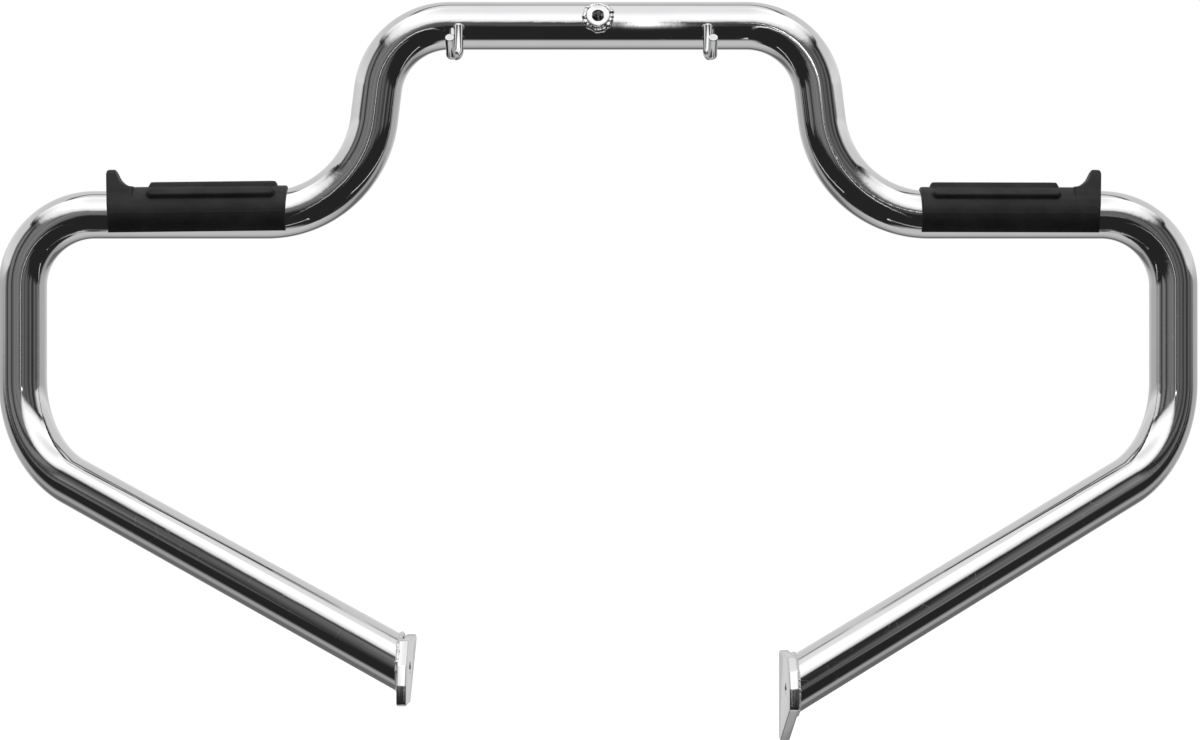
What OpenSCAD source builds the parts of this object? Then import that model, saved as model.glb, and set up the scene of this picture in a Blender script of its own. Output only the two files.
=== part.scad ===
// Motorcycle crash bars: one bent tube that loops out to a foot rail on each side and
// back in to two mounting plates, with a threaded bung, two rod hooks and two foot pads.
// Lengths are in millimetres. The rider is on the -Y side, +X is the rider's right and
// +Z is up. The origin is on the tube's axis in the middle of the top rail.

/* [Tube] */
// Outside diameter of the tube, nominally 1 1/4 in
tube_d = 31.75; // [30:0.05:33]
// Wall of the tube
tube_wall = 3; // [2:0.1:4]
// Centreline radius of the shoulder bends and the outer bends
tight_bend_r = 48; // [42:0.5:52]
// Centreline radius of the step bends and the leg bends
wide_bend_r = 72; // [62:0.5:76]

/* [Loop] */
// Half width of the top rail, out to the corner of its bend
shoulder_x = 141.5; // [136:0.5:150]
// Half distance between the inner corners of the foot rails
step_x = 157; // [150:0.5:164]
// Drop from the top rail to the foot rails
step_drop = 126; // [120:1:140]
// Half distance between the outer tubes
outer_x = 383.5; // [376:0.5:400]
// Drop from the foot rails to the corners of the leg bends
outer_drop = 159; // [140:1:180]

/* [Legs] */
// Half distance between the mounting faces of the two plates
mount_half_gap = 114.3; // [105:0.1:125]
// How far the legs sweep towards the rider
leg_sweep = 175; // [150:1:200]
// Drop from the left leg bend to the hole in the left plate
left_leg_drop = 126; // [115:1:140]
// Drop from the right leg bend to the hole in the right plate
right_leg_drop = 139; // [125:1:150]

/* [Mounting plates] */
// Thickness of the plates
plate_t = 6; // [4:0.5:8]
// Turn of the mounting faces towards the rider, in degrees
plate_toe = 3; // [0:0.5:6]
// Radius of the plates' corners
plate_corner_r = 3; // [2:0.5:4]
// From the hole to the plates' edge on the rider's side
plate_near = 21; // [20:0.5:24]
// How far the plates' edge on the rider's side leans back up to its brow
plate_brow = 4; // [3:0.5:5]
// How far back from that edge the plates' top edge starts
plate_crown = 13.5; // [12:0.5:15]
// From the left hole up to the plate's top edge
left_plate_up = 18; // [17.5:0.5:24]
// From the left hole down to the plate's bottom edge
left_plate_down = 21; // [20.5:0.5:26]
// From the left hole to the far end of the plate's top edge
left_plate_far = 41; // [39:0.5:46]
// From the left plate's top edge down to its brow, where the edge leans back further
left_plate_brow = 14.5; // [13:0.5:15.5]
// From the left plate's top edge down to where the near edge starts to lean back
left_plate_nose = 26.5; // [25:0.5:28]
// How much shorter the left plate's bottom edge is than its top edge, at the far end
left_plate_taper = 38; // [32:0.5:39]
// From the right hole up to the plate's top edge
right_plate_up = 21; // [18.5:0.5:26]
// From the right hole down to the plate's tip
right_plate_down = 34.5; // [33:0.5:40]
// From the right plate's top edge down to its brow, where the edge leans back further
right_plate_brow = 8; // [7:0.5:9]
// From the right plate's top edge down to where the near edge starts to lean back
right_plate_nose = 18.5; // [17:0.5:20]
// From the right hole down to the foot of the edge on the rider's side
right_plate_foot = 10; // [8:0.5:14]
// Width of the right plate's tip
right_plate_tip = 7; // [6.5:0.5:12]
// From the right hole to the plate's far edge
right_plate_far = 37.5; // [34:0.5:42]

/* [Threads and welds] */
// Wall diameter of the threaded holes, the tapping size of an M8 thread
thread_d = 6.8; // [6:0.1:8]
// Width of the countersink at the mouth of each thread, measured on the radius
countersink = 0.8; // [0.4:0.1:1.2]
// Width of the weld bead round the bung
bung_weld = 2.4; // [1.6:0.1:3]
// Width of the weld beads round the legs' ends
leg_weld = 1.5; // [1:0.1:2.4]
// Width of the welds at the hooks' posts
hook_weld = 1.2; // [0.8:0.1:1.6]

/* [Centre bung] */
// Diameter of the bung
bung_d = 16; // [14:0.5:18]
// From the tube's axis out to the bung's face
bung_face = 17.2; // [16.8:0.1:18.5]
// From the tube's axis in to the bung's inner end
bung_inner = 6; // [4:0.5:8]
// Tilt of the bung's axis above the level, in degrees
bung_tilt = 17; // [10:1:24]

/* [Hooks] */
// Diameter of the hooks' rod
hook_d = 6; // [5.5:0.1:6.5]
// Centreline radius of the hooks' bends
hook_bend_r = 4.4; // [4:0.1:4.6]
// From the middle of the rail to the left hook's post
left_hook_x = 92; // [80:0.5:96]
// From the middle of the rail to the right hook's post
right_hook_x = 72.5; // [60:0.5:90]
// Drop from the rail's axis to the lowest part of the rod's axis
hook_drop = 22; // [20.5:0.1:24]
// How far the left hook's pin stands outboard of its post
left_pin_offset = 4.8; // [2:0.1:6]
// How far the right hook's pin stands outboard of its post
right_pin_offset = 2.8; // [2:0.1:6]
// How far the hook's foot reaches from the post towards the rider
hook_reach = 8.5; // [8:0.1:10]
// Length of the pin beyond the hook's foot
pin_length = 18; // [16:0.5:20]
// Rise of the pin above the level, in degrees
pin_rise = 33; // [28:1:38]

/* [Foot pads] */
// Length of a pad
pad_length = 117.5; // [112:0.5:120]
// Wall of a pad over the tube
pad_wall = 2.4; // [2:0.1:4]
// Gap between the tube and a pad's bore
pad_clearance = 0.1; // [0:0.05:0.3]
// From the middle of the bars to the inner end of the left pad
left_pad_x = 207; // [205:0.5:210]
// From the middle of the bars to the inner end of the right pad
right_pad_x = 214.5; // [211:0.5:216]
// From the tube's axis down to a pad's lower lips
pad_lip = 12.3; // [11:0.1:13]
// Height of a pad's ribs over its wall
rib_height = 3.2; // [2:0.1:4]
// Width of a pad's ribs
rib_width = 7.6; // [6:0.1:8.4]
// Angle between one rib and the next, around the tube
rib_step = 45; // [40:1:48]
// From a pad's inner end to its ribs
rib_start = 7; // [5:0.5:9]
// Length of a pad's ribs
rib_length = 85; // [78:1:88]
// Height of the horn above the tube's axis
horn_height = 30.6; // [28:0.1:33]
// Thickness of the horn at its top
horn_t = 6.2; // [5:0.1:7]
// Radius of the curve that runs from the horn to the pad's top
horn_fillet = 9.5; // [8:0.1:11]
// Radius of the horn's rounded top, seen along the tube
horn_round = 8; // [6:0.5:10]
// Radius of the horn's edges at its top
horn_edge = 1.6; // [1:0.1:2.4]

/* [Hidden] */
$fn = 96;

// Extra length of a cutting body past the surface that it cuts
over = 1;
// A bend is this much slimmer than the straights, and runs this far into their ends.
// A straight runs this far into a bend, on a cone that drops by twice the step
bend_step = 0.05;
bend_overlap = 0.5;
straight_overlap = 0.2;
// How far the hooks' posts stand in the rail, so that they fuse with their welds
post_bite = 0.5;
tube_r = tube_d / 2;
hook_r = hook_d / 2;
pad_r = tube_r + pad_clearance + pad_wall;
chrome = "silver";
rubber = [0.14, 0.14, 0.15];

// Corners of the tube's axis on the right-hand side, from the middle of the top rail out
shoulder = [shoulder_x, 0, 0];
step = [step_x, 0, -step_drop];
outer = [outer_x, 0, -step_drop];
lower = [outer_x, 0, -step_drop - outer_drop];
left_hole = [-mount_half_gap, -leg_sweep, lower.z - left_leg_drop];
right_hole = [mount_half_gap, -leg_sweep, lower.z - right_leg_drop];

// The tube is drawn this far past the plates' holes and cut back to the plates
leg_spare = 2 * tube_d;

function unit(v) = v / norm(v);
function flip(p) = [-p.x, p.y, p.z];
function past(from, to, extra) = to + extra * unit(to - from);
function bend_angle(a, b, c) = acos(unit(b - a) * unit(c - b));
function bend_reach(a, b, c, r) = r * tan(bend_angle(a, b, c) / 2);

// The whole axis of the tube, from the left plate over the top to the right plate
axis_points = [past(flip(lower), left_hole, leg_spare), flip(lower), flip(outer),
               flip(step), flip(shoulder), shoulder, step, outer, lower,
               past(lower, right_hole, leg_spare)];
axis_radii = [wide_bend_r, tight_bend_r, wide_bend_r, tight_bend_r,
              tight_bend_r, wide_bend_r, tight_bend_r, wide_bend_r];

// Places its children with their X, Y and Z axes along three unit vectors
module set_axes(origin, x, y, z)
    multmatrix([[x.x, y.x, z.x, origin.x],
                [x.y, y.y, z.y, origin.y],
                [x.z, y.z, z.z, origin.z]])
        children();

// A straight cylinder from one point to another, with a cone past each end
module straight(from, to, r) {
    d = unit(to - from);
    side = unit(abs(d.z) > 0.9 ? cross([1, 0, 0], d) : cross([0, 0, 1], d));
    length = norm(to - from);
    set_axes(from, side, cross(d, side), d) {
        cylinder(r = r, h = length);
        translate([0, 0, length])
            cylinder(r1 = r, r2 = r - 2 * bend_step, h = straight_overlap);
        translate([0, 0, -straight_overlap])
            cylinder(r1 = r - 2 * bend_step, r2 = r, h = straight_overlap);
    }
}

// The torus arc that rounds the corner b on the way from a to c
module bend(a, b, c, bend_r, r) {
    come = unit(b - a);
    axis = unit(cross(come, unit(c - b)));
    across = cross(axis, come);
    start = b - come * bend_reach(a, b, c, bend_r);
    extra = bend_overlap / bend_r * 180 / PI;
    set_axes(start + across * bend_r, -across, come, axis)
        rotate([0, 0, -extra])
            rotate_extrude(angle = bend_angle(a, b, c) + 2 * extra)
                translate([bend_r, 0])
                    circle(r = r - bend_step);
}

// A round bar of radius r through the points, with a bend at each point but the ends
module bent_bar(points, radii, r) {
    last = len(points) - 1;
    cut = [for (i = [0 : last])
        i == 0 || i == last ? 0
        : bend_reach(points[i - 1], points[i], points[i + 1], radii[i - 1])];
    for (i = [0 : last - 1]) {
        d = unit(points[i + 1] - points[i]);
        straight(points[i] + d * cut[i], points[i + 1] - d * cut[i + 1], r);
    }
    for (i = [1 : last - 1])
        bend(points[i - 1], points[i], points[i + 1], radii[i - 1], r);
}

// A bar of the top rail's own size, used to cope what is welded to the rail
module rail_cut(half_length)
    rotate([0, 90, 0])
        cylinder(r = tube_r, h = 2 * half_length, center = true);

// Places its children on a plate's hole: X outboard through the plate, Y away from the rider
module at_plate(hole, side)
    translate(hole)
        mirror([side < 0 ? 1 : 0, 0, 0])
            rotate([0, 0, plate_toe])
                children();

// Points +Z along the bung's axis, from the tube's axis towards the rider
module at_bung()
    rotate([90 - bung_tilt, 0, 0])
        children();

// A threaded hole from z = 0 up to a countersunk mouth at z = depth
module threaded_hole(depth) {
    translate([0, 0, -over])
        cylinder(d = thread_d, h = depth + 2 * over);
    translate([0, 0, depth - countersink])
        cylinder(r1 = thread_d / 2, r2 = thread_d / 2 + countersink + over, h = countersink + over);
}

// A flat plate with round corners, from a convex outline listed anticlockwise
module rounded_plate(points, r, t) {
    n = len(points);
    corners = [for (i = [0 : n - 1])
        let (come = unit(points[i] - points[(i + n - 1) % n]),
             go = unit(points[(i + 1) % n] - points[i]),
             reach = r * tan(acos(come * go) / 2))
        [points[i] - come * reach, points[i] + go * reach,
         points[i] - come * reach + r * [-come.y, come.x]]];
    linear_extrude(height = t)
        polygon([for (c = corners) each [c[0], c[1]]]);
    for (c = corners)
        translate(c[2])
            cylinder(r = r, h = t);
}

module bar_tube()
    color(chrome)
        difference() {
            bent_bar(axis_points, axis_radii, tube_r);
            bent_bar(axis_points, axis_radii, tube_r - tube_wall);
            leg_end_cut(left_hole, -1);
            leg_end_cut(right_hole, 1);
            at_bung()
                cylinder(d = bung_d, h = tube_d);
        }

// Takes away what the leg has beyond the plate's outboard face
module leg_end_cut(hole, side)
    at_plate(hole, side)
        translate([plate_t - 2 * leg_spare, -2 * leg_spare, -2 * leg_spare])
            cube([2 * leg_spare, 4 * leg_spare, 4 * leg_spare]);

module centre_bung()
    color(chrome)
        difference() {
            union() {
                at_bung()
                    translate([0, 0, -bung_inner])
                        cylinder(d = bung_d, h = bung_inner + bung_face);
                difference() {
                    at_bung()
                        cylinder(r1 = bung_d / 2 + 2 * bung_weld, r2 = (bung_d + bung_weld) / 2,
                                 h = bung_face - bung_weld / 4);
                    rail_cut(bung_d);
                }
            }
            at_bung()
                translate([0, 0, -bung_inner])
                    threaded_hole(bung_inner + bung_face);
        }

// A hook on the rider's side of the rail: down its face, out under it and up along a pin
module hook(x, side, pin_offset) {
    post_y = -tube_r - hook_r + post_bite;
    foot = [side * pin_offset, post_y - hook_reach, -hook_drop];
    points = [[0, post_y, 0], [0, post_y, -hook_drop], foot,
              foot + pin_length * [0, -cos(pin_rise), sin(pin_rise)]];
    color(chrome)
        translate([side * x, 0, 0])
            difference() {
                union() {
                    bent_bar(points, [hook_bend_r, hook_bend_r], hook_r);
                    translate([0, post_y + hook_weld, -hook_weld])
                        sphere(r = hook_r + hook_weld);
                }
                rail_cut(2 * hook_d);
            }
}

module left_hook()
    hook(left_hook_x, -1, left_pin_offset);

module right_hook()
    hook(right_hook_x, 1, right_pin_offset);

// The plate across a leg's end, with the weld bead that the leg sits in
module mount_plate(outline, hole, side) {
    corner = side < 0 ? flip(lower) : lower;
    color(chrome)
        difference() {
            union() {
                at_plate(hole, side)
                    plate_blank(outline, plate_t);
                intersection() {
                    at_plate(hole, side)
                        plate_blank(outline, plate_t + leg_weld);
                    straight(corner, past(corner, hole, leg_spare), tube_r + leg_weld);
                }
            }
            difference() {
                straight(corner, past(corner, hole, leg_spare), tube_r);
                at_plate(hole, side)
                    plate_blank(outline, plate_t);
            }
            at_plate(hole, side)
                translate([plate_t, 0, 0])
                    rotate([0, -90, 0])
                        threaded_hole(plate_t);
        }
}

// Stands an outline on edge: its first axis runs away from the rider and its second up
module plate_blank(outline, t)
    rotate([90, 0, 90])
        rounded_plate(outline, plate_corner_r, t);

module left_mount_plate() {
    mount_plate([[-plate_near, -left_plate_down],
                 [left_plate_far - left_plate_taper, -left_plate_down],
                 [left_plate_far, left_plate_up],
                 [plate_crown - plate_near, left_plate_up],
                 [plate_brow - plate_near, left_plate_up - left_plate_brow],
                 [-plate_near, left_plate_up - left_plate_nose]], left_hole, -1);
}

module right_mount_plate() {
    mount_plate([[-plate_near, -right_plate_foot],
                 [right_plate_far - right_plate_tip, -right_plate_down],
                 [right_plate_far, -right_plate_down],
                 [right_plate_far, right_plate_up],
                 [plate_crown - plate_near, right_plate_up],
                 [plate_brow - plate_near, right_plate_up - right_plate_brow],
                 [-plate_near, right_plate_up - right_plate_nose]], right_hole, 1);
}

// How far the foot rail has risen into the step bend at a distance x from the middle
function rail_rise(x) =
    let (bend_x = step.x + bend_reach(shoulder, step, outer, wide_bend_r))
    wide_bend_r - sqrt(pow(wide_bend_r, 2) - pow(max(bend_x - x, 0), 2));

// One rounded rib along the top of a pad, lying on the pad's wall
module rib()
    translate([rib_start, 0, tube_r]) {
        top = pad_wall + rib_height;
        translate([rib_width / 2, -rib_width / 2, 0])
            cube([rib_length - rib_width, rib_width, top]);
        for (x = [rib_width / 2, rib_length - rib_width / 2])
            translate([x, 0, 0])
                cylinder(d = rib_width, h = top);
    }

// The pad's section at the horn: the wall's circle drawn up to a smaller circle
module horn_section(length) {
    top_z = horn_height - horn_round;
    lean = asin((pad_r - horn_round) / top_z);
    side = [cos(lean), sin(lean)];
    rotate([90, 0, 90])
        linear_extrude(height = length)
            polygon([[pad_r * side.x, pad_r * side.y],
                     [horn_round * side.x, top_z + horn_round * side.y],
                     [-horn_round * side.x, top_z + horn_round * side.y],
                     [-pad_r * side.x, pad_r * side.y]]);
    rotate([0, 90, 0])
        cylinder(r = pad_r, h = length);
    translate([0, 0, top_z])
        rotate([0, 90, 0])
            cylinder(r = horn_round, h = length);
}

// The horn's outline seen from the rider: upright end, rounded top, curve down to the pad
module horn_side() {
    wide = 2 * pad_r;
    base = horn_t + horn_fillet;
    rotate([90, 0, 0])
        translate([pad_length - base, 0, -wide / 2]) {
            difference() {
                cube([base - horn_edge, horn_height, wide]);
                translate([0, pad_r + horn_fillet, -over])
                    cylinder(r = horn_fillet, h = wide + 2 * over);
                translate([-over, pad_r + horn_fillet, -over])
                    cube([horn_fillet + over, horn_height, wide + 2 * over]);
                translate([horn_fillet - over, horn_height - horn_edge, -over])
                    cube([horn_edge + over, horn_height, wide + 2 * over]);
            }
            translate([base - 2 * horn_edge, 0, 0])
                cube([2 * horn_edge, horn_height - horn_edge, wide]);
            for (x = [horn_fillet + horn_edge, base - horn_edge])
                translate([x, horn_height - horn_edge, 0])
                    cylinder(r = horn_edge, h = wide);
        }
}

// A pad in its own place: bore along X from the inner end, lips down, horn at the outer end
module pad_body() {
    rotate([0, 90, 0])
        cylinder(r = pad_r, h = pad_length);
    intersection() {
        translate([pad_length - horn_t - horn_fillet, 0, 0])
            horn_section(horn_t + horn_fillet);
        horn_side();
    }
    for (turn = [-rib_step, 0, rib_step])
        rotate([turn, 0, 0])
            rib();
}

// A right-hand pad that starts at x and leans with the rail where the rail starts to bend
module foot_pad(x)
    color(rubber)
        difference() {
            translate([x, 0, step.z + rail_rise(x)])
                rotate([0, asin(rail_rise(x) / pad_length), 0])
                    difference() {
                        pad_body();
                        translate([-over, -tube_d, -tube_d - pad_lip])
                            cube([pad_length + 2 * over, 2 * tube_d, tube_d]);
                    }
            bent_bar([shoulder, step, outer, lower], [wide_bend_r, tight_bend_r],
                     tube_r + pad_clearance);
        }

module left_foot_pad()
    mirror([1, 0, 0])
        foot_pad(left_pad_x);

module right_foot_pad()
    foot_pad(right_pad_x);

bar_tube();
centre_bung();
left_hook();
right_hook();
left_mount_plate();
right_mount_plate();
left_foot_pad();
right_foot_pad();
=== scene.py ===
"""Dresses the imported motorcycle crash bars: chromed tube, welds, hooks, plates and foot pads.

Sizes are in millimetres, as in the part's own source, and every mesh is made in metres. The
rider is on the -Y side, +X is the rider's right and +Z is up.
"""
import logging
import math
from dataclasses import dataclass, field
from enum import Enum
from typing import Callable, Iterable, Sequence

import bmesh
import bpy
import numpy as np
from mathutils import Matrix, Vector


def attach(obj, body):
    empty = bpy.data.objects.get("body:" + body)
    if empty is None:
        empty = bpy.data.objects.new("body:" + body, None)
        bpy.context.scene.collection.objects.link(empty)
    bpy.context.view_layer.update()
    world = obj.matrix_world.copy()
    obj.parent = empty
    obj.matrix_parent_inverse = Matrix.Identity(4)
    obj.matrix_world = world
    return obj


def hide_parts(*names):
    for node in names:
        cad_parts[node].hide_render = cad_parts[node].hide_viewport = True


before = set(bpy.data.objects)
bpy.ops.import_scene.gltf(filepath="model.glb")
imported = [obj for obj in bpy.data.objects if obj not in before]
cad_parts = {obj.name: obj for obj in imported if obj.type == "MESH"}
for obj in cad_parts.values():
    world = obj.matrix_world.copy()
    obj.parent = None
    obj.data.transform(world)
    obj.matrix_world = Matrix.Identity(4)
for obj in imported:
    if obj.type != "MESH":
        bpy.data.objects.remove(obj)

LOG = logging.getLogger("crash_bars")
MM = 0.001
BODY = "root"
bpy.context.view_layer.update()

Point = tuple[float, float, float]
Stops = tuple[tuple[float, float], ...]
Range = tuple[float, ...]
Mesh = bpy.types.Mesh
Material = bpy.types.Material
Socket = bpy.types.NodeSocket


class Hand(Enum):
    """The side of the bars that a piece is on."""

    LEFT = -1
    RIGHT = 1

    @property
    def word(self) -> str:
        """The side's name as it stands in the names of pieces and nodes."""
        return self.name.lower()


class Slot(Enum):
    """The record's material slots."""

    CHROME = "bar_chrome"
    RUBBER = "pad_rubber"


# ---- node trees


class Graph:
    """A node tree with a short way to add nodes and link them."""

    def __init__(self, tree: bpy.types.NodeTree) -> None:
        """Keeps the shader or geometry tree to build in."""
        self.tree = tree

    @classmethod
    def of(cls, owner: Material | bpy.types.World) -> "Graph":
        """Empties the node tree of a material or a world.

        Args:
            owner: what the tree belongs to.

        Returns:
            The graph of its tree.
        """
        owner.use_nodes = True
        owner.node_tree.nodes.clear()
        return cls(owner.node_tree)

    def add(self, kind: str, inputs: dict | None = None, **settings: object) -> bpy.types.Node:
        """Adds one node.

        Args:
            kind: the node's type.
            inputs: values or output sockets by input name or number.
            settings: the node's own properties.

        Returns:
            The new node.
        """
        node = self.tree.nodes.new(kind)
        for key, value in settings.items():
            setattr(node, key, value)
        for key, value in (inputs or {}).items():
            if isinstance(value, Socket):
                self.tree.links.new(value, node.inputs[key])
            else:
                node.inputs[key].default_value = value
        return node

    def math(self, operation: str, *values: object) -> Socket:
        """The result of one Math node, from numbers or sockets."""
        return self.add("ShaderNodeMath", dict(enumerate(values)), operation=operation).outputs[0]

    def times(self, a: object, b: object) -> Socket:
        """The product of two values."""
        return self.math("MULTIPLY", a, b)

    def plus(self, a: object, b: object) -> Socket:
        """The sum of two values."""
        return self.math("ADD", a, b)

    def span(self, value: object, low: float, high: float, to_low: float = 0.0,
             to_high: float = 1.0, kind: str = "LINEAR") -> Socket:
        """Maps low to high onto to_low to to_high, clamped, straight or as kind says."""
        return self.add("ShaderNodeMapRange", {0: value, 1: low, 2: high, 3: to_low, 4: to_high},
                        interpolation_type=kind).outputs[0]

    def ease(self, value: object, low: float, high: float, to_low: float = 0.0,
             to_high: float = 1.0) -> Socket:
        """The same as span, along an S curve."""
        return self.span(value, low, high, to_low, to_high, "SMOOTHSTEP")

    def noise(self, place: Socket, scale: float, detail: float, roughness: float = 0.5) -> Socket:
        """The value of a noise texture at a place."""
        return self.add("ShaderNodeTexNoise", {"Vector": place, "Scale": scale, "Detail": detail,
                                               "Roughness": roughness}).outputs[0]

    def ramp(self, value: object, stops: Stops) -> Socket:
        """A grey that follows a value.

        Args:
            value: the socket that it reads.
            stops: rising values and the brightness at each.

        Returns:
            The colour output socket.
        """
        low, high = stops[0][0], stops[-1][0]
        node = self.add("ShaderNodeValToRGB", {0: self.span(value, low, high)})
        marks = node.color_ramp.elements
        while len(marks) < len(stops):
            marks.new(1.0)
        for mark, (place, level) in zip(marks, stops):
            mark.position = (place - low) / (high - low)
            mark.color = (level, level, level, 1.0)
        return node.outputs[0]


class ShapeTool:
    """A Geometry Nodes tree that takes a wire path and named sizes and gives a mesh."""

    KINDS = {float: "NodeSocketFloat", int: "NodeSocketInt", Material: "NodeSocketMaterial"}

    def __init__(self, name: str, inputs: dict[str, type]) -> None:
        """Makes the empty tree.

        Args:
            name: the tree's name.
            inputs: the type of each named input.
        """
        self.tree = bpy.data.node_groups.new(name, "GeometryNodeTree")
        sockets = self.tree.interface
        sockets.new_socket("Geometry", in_out="INPUT", socket_type="NodeSocketGeometry")
        for label, kind in inputs.items():
            sockets.new_socket(label, in_out="INPUT", socket_type=self.KINDS[kind])
        sockets.new_socket("Geometry", in_out="OUTPUT", socket_type="NodeSocketGeometry")
        self.graph = Graph(self.tree)
        self.given = self.graph.add("NodeGroupInput").outputs

    def close(self, geometry: Socket) -> None:
        """Ends the tree: instances made real, smooth shading and the finish.

        Args:
            geometry: the last geometry socket.
        """
        add = self.graph.add
        real = add("GeometryNodeRealizeInstances", {"Geometry": geometry})
        smooth = add("GeometryNodeSetShadeSmooth", {"Geometry": real.outputs[0]})
        dressed = add("GeometryNodeSetMaterial", {"Geometry": smooth.outputs[0],
                                                  "Material": self.given["Finish"]})
        add("NodeGroupOutput", {0: dressed.outputs[0]})

    def run(self, host: Mesh, values: dict[str, object],
            finish_with: Callable[[bpy.types.Object], None] | None = None) -> Mesh:
        """Runs the tree on a wire path.

        Args:
            host: the path's mesh.
            values: each named input's value.
            finish_with: adds further modifiers to the object before it is evaluated.

        Returns:
            The finished plain mesh.
        """
        obj = bpy.data.objects.new("path", host)
        modifier = obj.modifiers.new("shape", "NODES")
        modifier.node_group = self.tree
        for item in self.tree.interface.items_tree:
            if item.in_out == "INPUT" and item.name in values:
                modifier[item.identifier] = values[item.name]
        if finish_with:
            finish_with(obj)
        return baked(obj)


def baked(obj: bpy.types.Object) -> Mesh:
    """Evaluates an object with its modifiers and removes it.

    Args:
        obj: an object that isn't in the scene yet.

    Returns:
        The evaluated mesh.
    """
    bpy.context.scene.collection.objects.link(obj)
    graph = bpy.context.evaluated_depsgraph_get()
    graph.update()
    mesh = bpy.data.meshes.new_from_object(obj.evaluated_get(graph), depsgraph=graph,
                                           preserve_all_data_layers=True)
    old = obj.data
    bpy.data.objects.remove(obj)
    bpy.data.meshes.remove(old)
    return mesh


# Points of a swept bar closer than this are one, which closes its tips.
MERGE_MM = 0.002


def round_bar_tool() -> ShapeTool:
    """The tree that sweeps a circle along a path, with a taper on each point.

    Returns:
        The tool, with inputs Radius, Sides and Finish.
    """
    tool = ShapeTool("round_bar", {"Radius": float, "Sides": int, "Finish": Material})
    add, given = tool.graph.add, tool.given
    path = add("GeometryNodeMeshToCurve", {"Mesh": given["Geometry"]})
    ring = add("GeometryNodeCurvePrimitiveCircle",
               {"Resolution": given["Sides"], "Radius": given["Radius"]})
    taper = add("GeometryNodeInputNamedAttribute", {"Name": "taper"}, data_type="FLOAT")
    swept = add("GeometryNodeCurveToMesh", {"Curve": path.outputs[0], "Scale": taper.outputs[0],
                                            "Profile Curve": ring.outputs[0]})
    joined = add("GeometryNodeMergeByDistance",
                 {"Geometry": swept.outputs[0], "Distance": MERGE_MM * MM})
    tool.close(joined.outputs[0])
    return tool


def tube_tool() -> ShapeTool:
    """The tree that sweeps a tube's outer and inner wall along a path.

    Returns:
        The tool, with inputs Radius, Bore, Sides and Finish.
    """
    tool = ShapeTool("tube", {"Radius": float, "Bore": float, "Sides": int,
                              "Finish": Material})
    add, given = tool.graph.add, tool.given
    path = add("GeometryNodeMeshToCurve", {"Mesh": given["Geometry"]})
    walls = add("GeometryNodeJoinGeometry")
    for size in ("Bore", "Radius"):
        ring = add("GeometryNodeCurvePrimitiveCircle",
                   {"Resolution": given["Sides"], "Radius": given[size]})
        wall = add("GeometryNodeCurveToMesh", {"Curve": path.outputs[0],
                                               "Profile Curve": ring.outputs[0]})
        if size == "Bore":
            wall = add("GeometryNodeFlipFaces", {"Mesh": wall.outputs[0]})
        tool.tree.links.new(wall.outputs[0], walls.inputs[0])
    tool.close(walls.outputs[0])
    return tool


def weld_tool() -> ShapeTool:
    """The tree that lays overlapping drops of weld metal along a path.

    Returns:
        The tool, with inputs Radius, Pitch, Uneven, Seed and Finish.
    """
    tool = ShapeTool("weld_bead", {"Radius": float, "Pitch": float, "Uneven": float, "Seed": int,
                                   "Finish": Material})
    g, add, given = tool.graph, tool.graph.add, tool.given
    path = add("GeometryNodeMeshToCurve", {"Mesh": given["Geometry"]})
    spots = add("GeometryNodeResampleCurve", {"Curve": path.outputs[0],
                                              "Length": given["Pitch"]}, mode="LENGTH")
    drop = add("GeometryNodeMeshIcoSphere", {"Radius": given["Radius"], "Subdivisions": 3})
    size = add("FunctionNodeRandomValue", {2: g.math("SUBTRACT", 1.0, given["Uneven"]),
                                           3: g.plus(1.0, given["Uneven"]),
                                           "Seed": given["Seed"]}, data_type="FLOAT")
    shift = add("FunctionNodeRandomValue", {0: (-1.0, -1.0, -1.0), 1: (1.0, 1.0, 1.0),
                                            "Seed": given["Seed"]}, data_type="FLOAT_VECTOR")
    nudge = add("ShaderNodeVectorMath", {0: shift.outputs[0],
                                         "Scale": g.times(given["Uneven"], given["Radius"])},
                operation="SCALE")
    moved = add("GeometryNodeSetPosition", {"Geometry": spots.outputs[0],
                                            "Offset": nudge.outputs[0]})
    drops = add("GeometryNodeInstanceOnPoints", {"Points": moved.outputs[0],
                                                 "Instance": drop.outputs[0],
                                                 "Scale": size.outputs[1]})
    tool.close(drops.outputs[0])
    return tool


# ---- meshes

# An M8 thread's pitch. Doubled corners closer than this are merged.
THREAD_PITCH = 1.25
DOUBLES_MM = 0.0005


def wire(points: Iterable[Vector], closed: bool = False,
         attributes: dict[str, Sequence[float]] | None = None) -> Mesh:
    """A wire mesh through points in millimetres.

    Args:
        points: the path's points.
        closed: whether the last point joins the first.
        attributes: a number for each point, by name.

    Returns:
        The mesh, in metres.
    """
    spots = [Vector(p) * MM for p in points]
    count = len(spots)
    edges = [(i, (i + 1) % count) for i in range(count if closed else count - 1)]
    mesh = bpy.data.meshes.new("wire")
    mesh.from_pydata(spots, edges, [])
    for name, values in (attributes or {}).items():
        mesh.attributes.new(name, "FLOAT", "POINT").data.foreach_set("value", list(values))
    return mesh


def solid(points: Sequence[Sequence[float]], faces: Sequence[Sequence[int]]) -> Mesh:
    """A closed mesh in metres from corners in millimetres, with its faces turned outwards."""
    mesh = bpy.data.meshes.new("solid")
    mesh.from_pydata([tuple(c * MM for c in p) for p in points], [], faces)
    return outward(mesh)


def outward(mesh: Mesh) -> Mesh:
    """Merges doubles and turns the faces of closed shells outwards.

    Args:
        mesh: the mesh to mend.

    Returns:
        The same mesh.
    """
    work = bmesh.new()
    work.from_mesh(mesh)
    bmesh.ops.remove_doubles(work, verts=work.verts, dist=DOUBLES_MM * MM)
    bmesh.ops.recalc_face_normals(work, faces=work.faces)
    work.to_mesh(mesh)
    work.free()
    return mesh


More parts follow.
